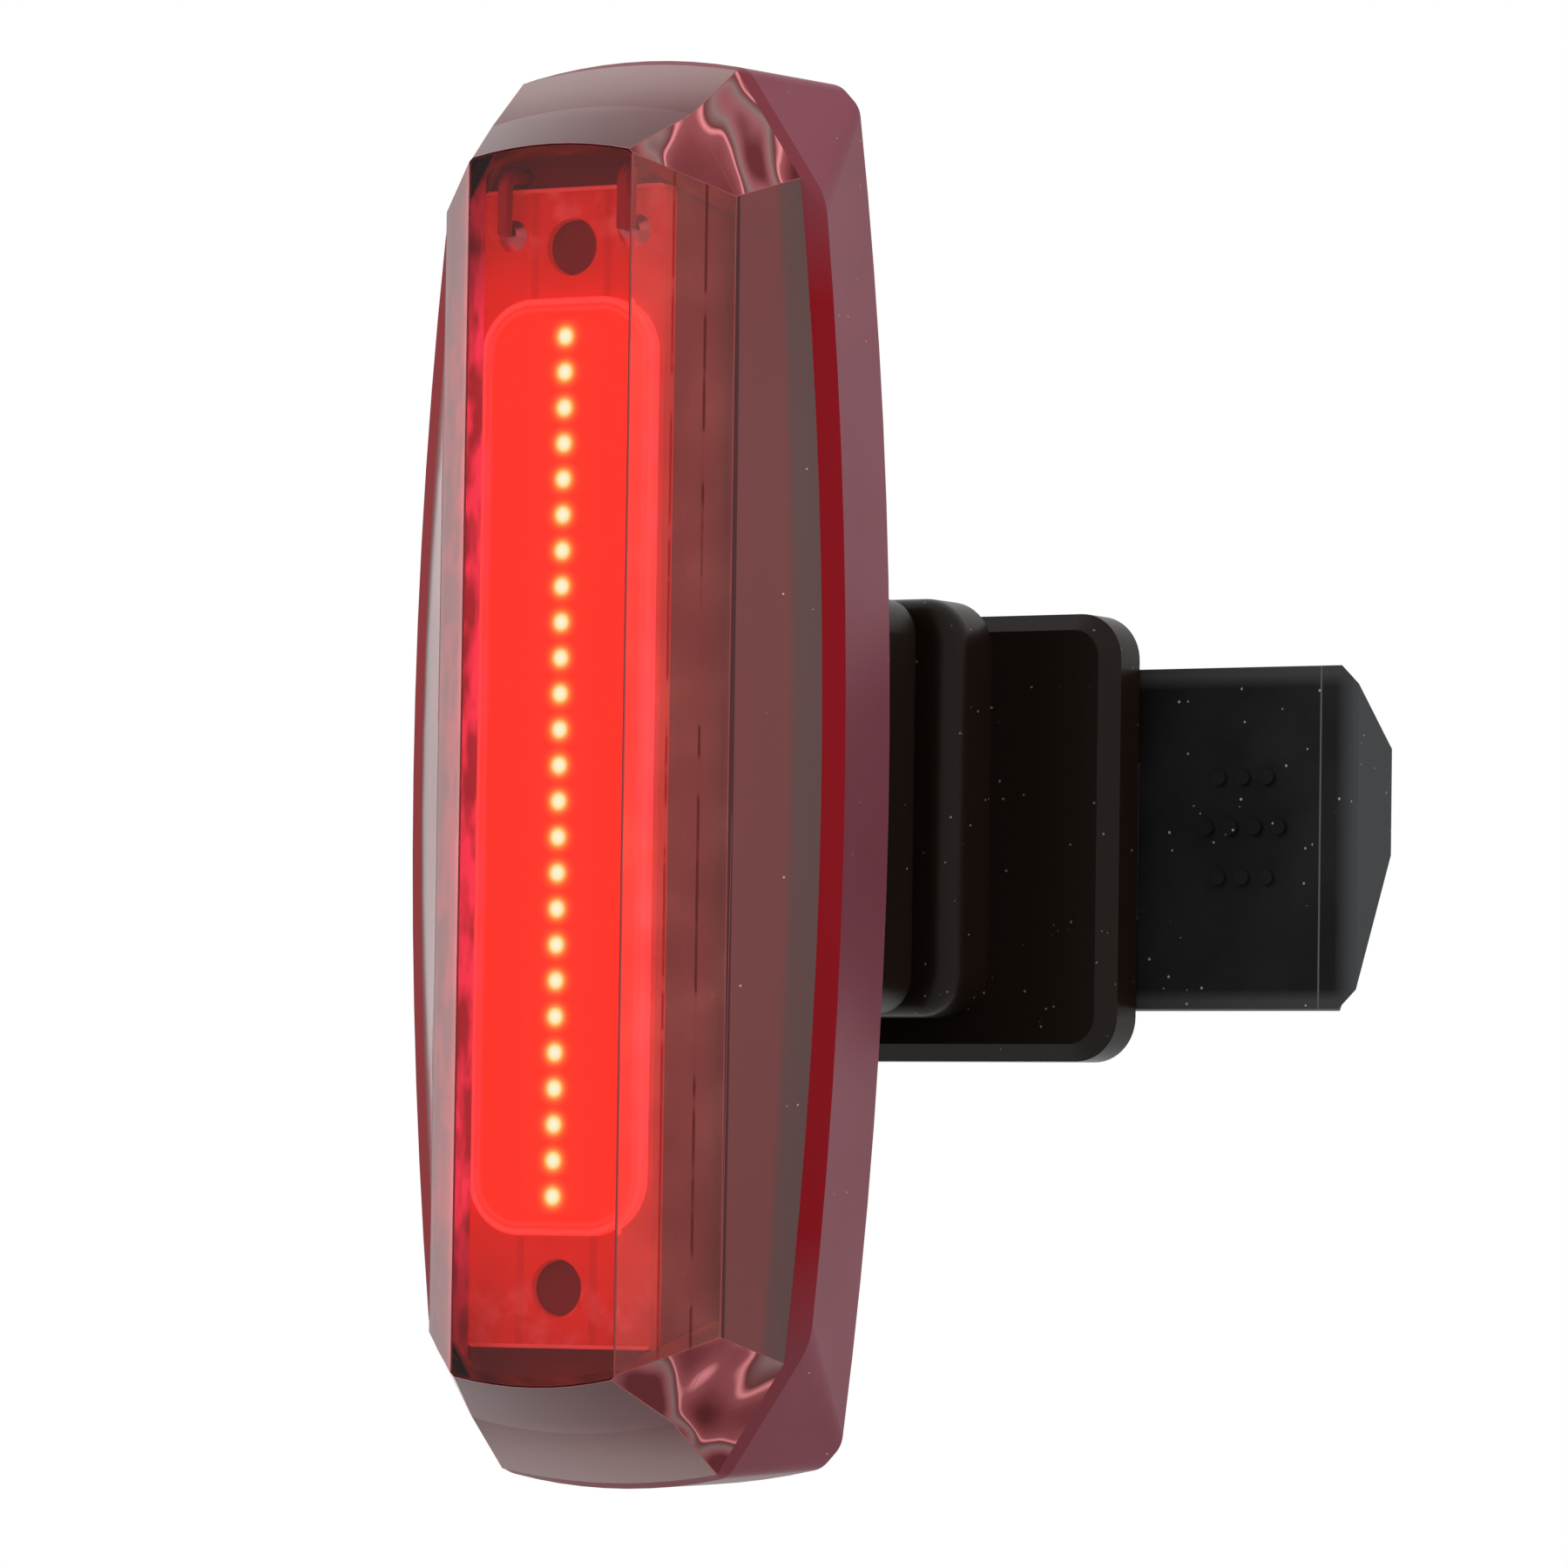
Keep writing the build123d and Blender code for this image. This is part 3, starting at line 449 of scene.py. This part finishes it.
def windowFarWall():
    # the far side's inner wall glows pink-red, as if it passed the strip's light on, and less at both ends
    s = Shading("window_far_wall")
    glow = s.ramp(s.noise(330, 2), [(0.40, srgb(150, 30, 40)), (0.60, srgb(235, 60, 90))])
    s.link(glow, s.bsdf.inputs["Base Color"])
    level = s.fade(awayFromMiddle(s), window["wallGlowSpan"], 1, window["wallGlowLeast"])
    s.link(blendBy(s, level, grey(0), glow), s.bsdf.inputs["Emission Color"])
    s.set(Roughness=0.3, IOR=window["clearIor"], Transmission_Weight=0.35, Specular_IOR_Level=0.1,
          Emission_Strength=0.9)
    return s.material


def windowEndWall():
    # the inner walls above and below the board: brown-red in the strip's light, which is painted on as their
    # colour and as a glow
    s = Shading("window_end_wall")
    # painted light: one brown-red varied by noise, used as colour and as glow for the strip's light
    paintedStripGlow = s.ramp(s.noise(420, 3), [(0.35, srgb(120, 30, 24)), (0.65, srgb(190, 62, 44))])
    s.link(paintedStripGlow, s.bsdf.inputs["Base Color"])
    s.link(paintedStripGlow, s.bsdf.inputs["Emission Color"])
    s.set(Roughness=0.3, IOR=window["clearIor"], Transmission_Weight=0.40, Specular_IOR_Level=0.1,
          Emission_Strength=0.22)
    return s.material


def windowFarFacet():
    # the facet on the far side of the flat: clear enough to show the strip, with painted shade that makes it
    # darker red beside it
    s = Shading("window_far_facet")
    # painted shade: the ramp across the facet darkens it beside the strip
    shade = s.ramp(s.fade(s.axes()[0], window["farFacetSpan"]),
                   [(0.0, srgb(126, 70, 72)), (0.25, srgb(120, 40, 46)), (0.80, srgb(140, 50, 54)),
                    (1.0, srgb(200, 70, 74))])
    s.link(shade, s.bsdf.inputs["Base Color"])
    s.set(Roughness=0.05, IOR=window["clearIor"], Transmission_Weight=0.60, Specular_IOR_Level=0.1)
    return s.material


def windowSide():
    # hazy red plastic of the outer facets, greyer towards the seal. The tab's side has a painted dark line
    # behind the shoulder, shade for the crease there, and the far side is redder in front of it
    s = Shading("window_side")
    x, y, _ = s.axes()
    band = s.ramp(s.fade(y, window["flangeDepths"], zero=windowFront),
                  [(0.0, grey(0)), (0.58, grey(0.08)), (0.70, grey(0.9)), (1.0, grey(1))])
    haze = blendBy(s, band, srgb(104, 50, 50), srgb(80, 56, 54))
    farSide = blendBy(s, s.math("LESS_THAN", y, windowShoulder), haze, srgb(112, 38, 44))
    # painted shade: a thin dark line along the crease just behind the shoulder
    level = windowFront + (window["shoulderDepth"] + window["shoulderLineDrop"]) * mm
    shoulder = s.line(y, level, window["shoulderLineHalf"] * mm)
    tabSide = blendBy(s, s.math("MULTIPLY", shoulder, 0.8), haze, srgb(44, 8, 12))
    colour = blendBy(s, s.math("GREATER_THAN", x, 0.0), farSide, tabSide)
    dusty(s, colour, srgb(190, 150, 150), 900, 0.05)
    s.set(Roughness=0.14, IOR=1.45, Transmission_Weight=window["sideHaze"], Specular_IOR_Level=0.30)
    return s.material


def windowEnd():
    # maroon plastic that turns grey-mauve away from the flat, as both ends do in the photograph. The turn is
    # partly the plastic's own tone and partly a painted reflection
    s = Shading("window_end")
    # partly painted reflection: the ramp from maroon to grey-mauve along the head
    shade = s.ramp(s.fade(awayFromMiddle(s), window["endSpan"]),
                   [(0.0, srgb(64, 8, 16)), (0.35, srgb(76, 26, 30)), (0.70, srgb(112, 82, 82)),
                    (1.0, srgb(126, 100, 99))])
    s.link(shade, s.bsdf.inputs["Base Color"])
    s.set(Roughness=0.10, IOR=1.45, Transmission_Weight=window["endHaze"], Specular_IOR_Level=0.45)
    return s.material


def windowCorner():
    # swirls of dark maroon and grey-green with thin pink lines, for the light that the real corners bend
    s = Shading("window_corner")
    wave = s.node("ShaderNodeTexNoise")
    wave.inputs["Scale"].default_value = 105
    wave.inputs["Detail"].default_value = 1
    wave.inputs["Distortion"].default_value = 1.6
    s.link(s.place, wave.inputs["Vector"])
    swirl = s.ramp(wave.outputs["Fac"],
                   [(0.30, srgb(78, 26, 30)), (0.40, srgb(112, 50, 54)), (0.455, srgb(132, 68, 72)),
                    (0.475, srgb(206, 124, 128)), (0.495, srgb(96, 44, 48)), (0.56, srgb(122, 96, 94)),
                    (0.62, srgb(132, 74, 78)), (0.70, srgb(88, 34, 38))])
    s.link(swirl, s.bsdf.inputs["Base Color"])
    s.set(Roughness=0.08, IOR=window["clearIor"], Transmission_Weight=0.10, Specular_IOR_Level=0.15)
    return s.material


def faceArrays(mesh):
    # normals and centres of a mesh's faces, a row for each face
    normal = np.empty(len(mesh.polygons) * 3)
    centre = np.empty(len(mesh.polygons) * 3)
    mesh.polygons.foreach_get("normal", normal)
    mesh.polygons.foreach_get("center", centre)
    return normal.reshape(-1, 3), centre.reshape(-1, 3)


def dressWindow():
    # each outer facet takes the finish that fits where it points, the inner walls that face the board's ends
    # and the far side's inner wall take theirs, and the rest is clear
    mesh = nodes["lens"].data
    mesh.materials.clear()
    finishes = (windowFlat(), windowSide(), windowEnd(), windowCorner(), windowInnerFacet(),
                windowFarWall(), windowEndWall(), windowFarFacet())
    flat, outerSide, endFacet, corner, innerFacet, farWall, endWall, farFacet = range(len(finishes))
    for material in finishes:
        mesh.materials.append(material)
    normal, centre = faceArrays(mesh)
    outward = (normal * (centre - windowCore)).sum(axis=1) > 0
    side = np.abs(normal[:, 0]) > window["facetTurn"]
    end = np.abs(normal[:, 2]) > window["facetTurn"]
    outer = np.where(side & end, corner, np.where(end, endFacet, np.where(side, outerSide, flat)))
    shallow = (outer == outerSide) & (centre[:, 1] < windowShoulder)
    outer = np.where(shallow, np.where(centre[:, 0] > 0, innerFacet, farFacet), outer)
    onFarWall = ~outward & side & (centre[:, 0] < 0) & ~end
    inner = np.where(onFarWall, farWall, np.where(~outward & end, endWall, flat))
    kind = np.where(outward & (normal[:, 1] < window["facetBackLimit"]), outer, inner)
    mesh.polygons.foreach_set("material_index", kind.astype(np.int32))


def edgeMaterial():
    # rounded facet edges: plain glossy plastic that catches the light by its roundness
    s = Shading("window_edge")
    s.set(Base_Color=srgb(128, 44, 48) + (1,), Roughness=0.15)
    return s.material


def sharedEdges(mesh):
    # the edges that just two triangles share: both ends, and both triangles' normals and centres.
    # Corners at one place get one number, a side is its two numbers in order, and sides that are alike meet
    normal, centre = faceArrays(mesh)
    shape = np.empty(len(mesh.vertices) * 3)
    mesh.vertices.foreach_get("co", shape)
    corner = np.empty(len(mesh.loops), dtype=np.int32)
    mesh.loops.foreach_get("vertex_index", corner)
    rounded = np.round(shape.reshape(-1, 3)[corner] * roundingPerMetre).astype(np.int64)
    spots, number = np.unique(rounded, axis=0, return_inverse=True)
    number = number.reshape(-1, 3)
    sides = np.sort(np.stack((number, np.roll(number, -1, axis=1)), axis=-1).reshape(-1, 2), axis=1)
    edges, alike, count = np.unique(sides, axis=0, return_inverse=True, return_counts=True)
    ordered = np.argsort(alike.ravel(), kind="stable")
    first = (np.cumsum(count) - count)[count == 2]
    triangles = ordered[first[:, None] + np.arange(2)] // 3
    return spots[edges[count == 2]] / roundingPerMetre, normal[triangles], centre[triangles]


def unit(rows):
    return rows / np.linalg.norm(rows, axis=1, keepdims=True)


def addWindowEdges():
    # each sharp outer edge of the window, from a to b, becomes a thin six-sided rod:
    # point = end + radius * (cos(turn) * u + sin(turn) * v), with u and v square to the edge,
    # moved in along the mean of the two facets' normals by most of the radius
    ends, normals, centres = sharedEdges(nodes["lens"].data)
    outward = ((normals * (centres - windowCore)).sum(axis=2) > 0).all(axis=1)
    forward = (normals[:, :, 1] < window["edgeBackLimit"]).all(axis=1)
    sharp = (normals[:, 0] * normals[:, 1]).sum(axis=1) < math.cos(math.radians(window["sharpFrom"]))
    shoulder = (np.abs(ends[:, :, 1] - windowShoulder) < window["shoulderSlack"] * mm).all(axis=1)
    keep = outward & forward & (sharp | shoulder)
    ends, mean = ends[keep], unit(normals[keep].mean(axis=1))
    along = unit(ends[:, 1] - ends[:, 0])
    u = unit(mean - (mean * along).sum(axis=1, keepdims=True) * along)
    v = np.cross(along, u)
    radius, around = window["edgeRound"] * mm, window["edgeSides"]
    turn = np.linspace(0, 2 * math.pi, around, endpoint=False)
    ring = radius * (np.cos(turn)[:, None] * u[:, None, :] + np.sin(turn)[:, None] * v[:, None, :])
    sunk = ends - mean[:, None, :] * radius * window["edgeSinkShare"]
    rods = sunk[:, :, None, :] + ring[:, None, :, :]
    rods[..., 1] = np.maximum(rods[..., 1], windowFront)   # none stands proud of the flat
    start = np.arange(len(rods))[:, None] * 2 * around
    step = np.arange(around)
    after = (step + 1) % around
    quads = np.stack((start + step, start + after, start + around + after, start + around + step), axis=-1)
    mesh = bpy.data.meshes.new("window_edges")
    mesh.from_pydata(rods.reshape(-1, 3).tolist(), [], quads.reshape(-1, 4).tolist())
    mesh.validate()
    rodSet = bpy.data.objects.new("window_edges", mesh)
    bpy.context.collection.objects.link(rodSet)
    mesh.materials.append(edgeMaterial())
    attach(rodSet, "head")
    print("window edges:", len(rods))


strip = {
    "pitch": 1.85,               # mm between lamps
    "rowHalf": 23.1,             # mm from the middle lamp to just past the last one
    "half": (5.1, 24.2),         # mm, half width and half length of the strip
    "corner": 3.0,               # mm, radius of its corners
    "outlineDepth": 0.75,        # mm inside its outline
    "edgeSpan": (4.2, 5.0),      # mm from the middle line, where the glow turns pinker
    "haloReach": 2.0,            # mm over which the ramp below runs
    "halo": [(0.0, (3.4, 3.4, 2.6)), (0.15, (2.8, 3.0, 1.5)), (0.21, (2.1, 2.0, 0.50)),
             (0.27, (1.7, 0.85, 0.15)), (0.36, (1.5, 0.28, 0.05)), (0.50, (1.4, 0.09, 0.025)),
             (1.0, (1.38, 0.070, 0.018))],
    "pink": (1.4, 0.11, 0.24),
    "outline": (1.15, 0.20, 0.17),
}


def stripGlow():
    # red glow with a bright dot over each lamp, from the distance to the nearest dot, and pinker light
    # in blotches along both long edges
    s = Shading("strip_glow")
    pitch = strip["pitch"] * mm
    x, _, z = s.axes()
    along = s.math("SUBTRACT", z, headMiddle - pitch / 2)
    nearest = s.math("SUBTRACT", s.math("WRAP", along, pitch, 0.0), pitch / 2)
    away = s.math("SQRT", s.math("ADD", s.math("MULTIPLY", x, x), s.math("MULTIPLY", nearest, nearest)))
    beyond = s.math("GREATER_THAN", awayFromMiddle(s), strip["rowHalf"] * mm)
    ratio = s.math("ADD", s.math("DIVIDE", away, strip["haloReach"] * mm), beyond)
    glow = s.ramp(ratio, strip["halo"])
    edge = s.fade(s.math("ABSOLUTE", x), strip["edgeSpan"])
    blotch = s.mapRange(s.noise(330, 2), 0.42, 0.60, 0.25, 1.0)
    glow = blendBy(s, s.math("MULTIPLY", edge, blotch), glow, strip["pink"])
    # how far outside the rounded rectangle's inner box the point lies, the corner's radius at its outline
    (halfWide, halfHigh), corner = strip["half"], strip["corner"]
    overX = s.math("MAXIMUM", s.math("SUBTRACT", s.math("ABSOLUTE", x), (halfWide - corner) * mm), 0.0)
    overZ = s.math("MAXIMUM", s.math("SUBTRACT", awayFromMiddle(s), (halfHigh - corner) * mm), 0.0)
    reach = s.math("SQRT", s.math("ADD", s.math("MULTIPLY", overX, overX), s.math("MULTIPLY", overZ, overZ)))
    outline = s.ramp(s.fade(reach, (corner - strip["outlineDepth"], corner)),
                     [(0.0, grey(0)), (0.25, grey(0.55)), (0.45, grey(0.05)), (0.72, grey(1)),
                      (1.0, grey(0.4))])
    s.link(blendBy(s, outline, glow, strip["outline"]), s.bsdf.inputs["Emission Color"])
    s.set(Base_Color=(0.5, 0.012, 0.006, 1), Roughness=0.5, Emission_Strength=1.0, Specular_IOR_Level=0.1)
    return s.material


# Lengths in mm from the board's middle
board = {
    "traceAt": 2.2,
    "traceHalf": 0.22,
    "fluxSpan": (26.2, 27.6),
    "paleFrom": 29.8,
    "glowSpan": (25, 31),        # where the strip's light gets weaker
    "glowBlend": (0.05, 0.55),   # share of the weaker glow at both ends of that span
}


def boardMask():
    # red solder mask with a pale edge at both ends, a haze of flux round the pads and thin traces, and a
    # painted glow for the strip's light on the board, weaker towards both ends
    s = Shading("board_mask")
    x, _, _ = s.axes()
    away = awayFromMiddle(s)
    mask = s.ramp(s.noise(300, 3), [(0.3, srgb(190, 44, 30)), (0.7, srgb(212, 58, 40))])
    trace = s.line(s.math("ABSOLUTE", x), board["traceAt"] * mm, board["traceHalf"] * mm)
    mask = blendBy(s, s.math("MULTIPLY", trace, 0.5), mask, srgb(150, 28, 20))
    blotch = s.mapRange(s.noise(520, 4), 0.48, 0.66, 0, 0.75)
    mask = blendBy(s, s.math("MULTIPLY", s.fade(away, board["fluxSpan"]), blotch), mask, srgb(222, 165, 160))
    mask = blendBy(s, s.math("GREATER_THAN", away, board["paleFrom"] * mm), mask, srgb(236, 176, 170))
    s.link(mask, s.bsdf.inputs["Base Color"])
    # painted glow: the strip's light on the board, given as emission
    weaker = s.fade(away, board["glowSpan"], *board["glowBlend"])
    s.link(blendBy(s, weaker, srgb(190, 52, 20), srgb(104, 24, 10)), s.bsdf.inputs["Emission Color"])
    s.set(Roughness=0.4, Emission_Strength=0.75, Specular_IOR_Level=0.1)
    return s.material


def rimSatin():
    # satin burgundy with a little metal in the paint, mottled very slightly
    s = Shading("rim_burgundy")
    shade = s.ramp(s.noise(90, 3), [(0.3, srgb(106, 52, 63)), (0.7, srgb(114, 60, 71))])
    dusty(s, shade, srgb(196, 160, 166), 1300, 0.05)
    grained(s, 5000, 0.10, 0.02 * mm)
    s.set(Roughness=0.40, Metallic=0.35, Specular_IOR_Level=0.25)
    return s.material


seal = {
    "endSpan": (24, 30),         # mm from the head's middle, where the red gives way to maroon
}


def sealRed():
    # deep red along both sides, and close to the rim's maroon at both ends
    s = Shading("seal_silicone")
    ends = s.fade(awayFromMiddle(s), seal["endSpan"])
    s.link(blendBy(s, ends, srgb(110, 8, 18), srgb(100, 42, 50)), s.bsdf.inputs["Base Color"])
    s.set(Roughness=0.40, Specular_IOR_Level=0.08)
    return s.material


def plain(name, colour, rough, specks=None, **more):
    s = Shading(name)
    s.set(Base_Color=tuple(colour) + (1,), Roughness=rough, **more)
    if specks:
        dusty(s, colour, specks)
    grained(s, 2600, 0.18, 0.03 * mm)
    return s.material


# Lengths in mm, the tip and the parting line along x and the edges along z
strap = {
    "tipSpan": (31.5, 32.6),
    "lowEdgeSpan": (-8.0, -8.6),
    "highEdgeSpan": (7.9, 8.6),
    "palestShare": 0.9,
    "partingAt": 30.6,
    "partingHalf": 0.05,
}


def strapSilicone():
    # black silicone: dull bloom in patches, dust, a parting line, and paler long edges and tip, which are
    # partly wear and partly a painted highlight where light catches their chamfers
    s = Shading("strap_silicone")
    x, _, z = s.axes()
    bloom = s.ramp(s.noise(160, 5, 0.6), [(0.35, srgb(10, 10, 10)), (0.70, srgb(22, 22, 22))])
    # the paler tip and long edges below are partly wear and partly painted highlight
    tip = s.fade(x, strap["tipSpan"], 0, strap["palestShare"])
    colour = blendBy(s, tip, bloom, srgb(54, 56, 57))
    edges = s.math("MAXIMUM", s.fade(z, strap["lowEdgeSpan"], 0, strap["palestShare"]),
                   s.fade(z, strap["highEdgeSpan"], 0, strap["palestShare"]))
    colour = blendBy(s, edges, colour, srgb(48, 48, 49))
    parting = s.line(x, strap["partingAt"] * mm, strap["partingHalf"] * mm)
    colour = blendBy(s, parting, colour, srgb(70, 70, 70))
    dusty(s, colour, srgb(120, 118, 115), 1500, 0.11)
    grained(s, 1800, 0.25, 0.04 * mm)
    s.set(Roughness=0.62, Specular_IOR_Level=0.07)
    return s.material


# The window has its own finishes, so it isn't among these
materials = {
    "bracket": plain("bracket_nylon", srgb(20, 12, 8), 0.34, dust["onBlack"], Specular_IOR_Level=0.13),
    "seal": sealRed(),
    "rim": rimSatin(),
    "board": boardMask(),
    "strip": stripGlow(),
    "die": plain("die_lit", (1.0, 0.9, 0.5), 0.4),
    "solder": plain("solder_bright", (0.66, 0.63, 0.61), 0.22, Metallic=1.0),
    "wire": plain("wire_red", (0.4, 0.02, 0.02), 0.4),
    # the frame's emission is a painted glow that stands for the strip's light on it
    "frame": plain("frame_dark", srgb(124, 52, 44), 0.5, srgb(170, 90, 80), Specular_IOR_Level=0.08,
                   Emission_Color=srgb(120, 36, 22) + (1,), Emission_Strength=0.12),
    "cell": plain("cell_foil", (0.7, 0.7, 0.72), 0.3, Metallic=1.0),
    "foam": plain("foam_black", (0.03, 0.03, 0.03), 0.9),
    "circuit": plain("circuit_green", (0.02, 0.16, 0.07), 0.35),
    "chip": plain("chip_black", (0.02, 0.02, 0.02), 0.4),
    "switch": plain("switch_steel", (0.5, 0.5, 0.5), 0.3, Metallic=1.0),
    "cover": plain("cover_black", srgb(24, 21, 21), 0.42, dust["onBlack"], Specular_IOR_Level=0.3),
    "rubber": plain("rubber_black", srgb(26, 24, 24), 0.6, dust["onBlack"], Specular_IOR_Level=0.25),
    "pipe": plain("pipe_frosted", (0.8, 0.8, 0.78), 0.4),
    "strap": strapSilicone(),
    "steel": plain("screw_steel", (0.5, 0.5, 0.51), 0.28, Metallic=1.0),
}


def dress(node, material):
    mesh = nodes[node].data
    mesh.materials.clear()
    mesh.materials.append(material)


for part in frame["record"]["subparts"]:
    if part["node"] != "lens":
        dress(part["node"], materials[part["material_slot"]])
dressWindow()
addWindowEdges()
print("nodes dressed")
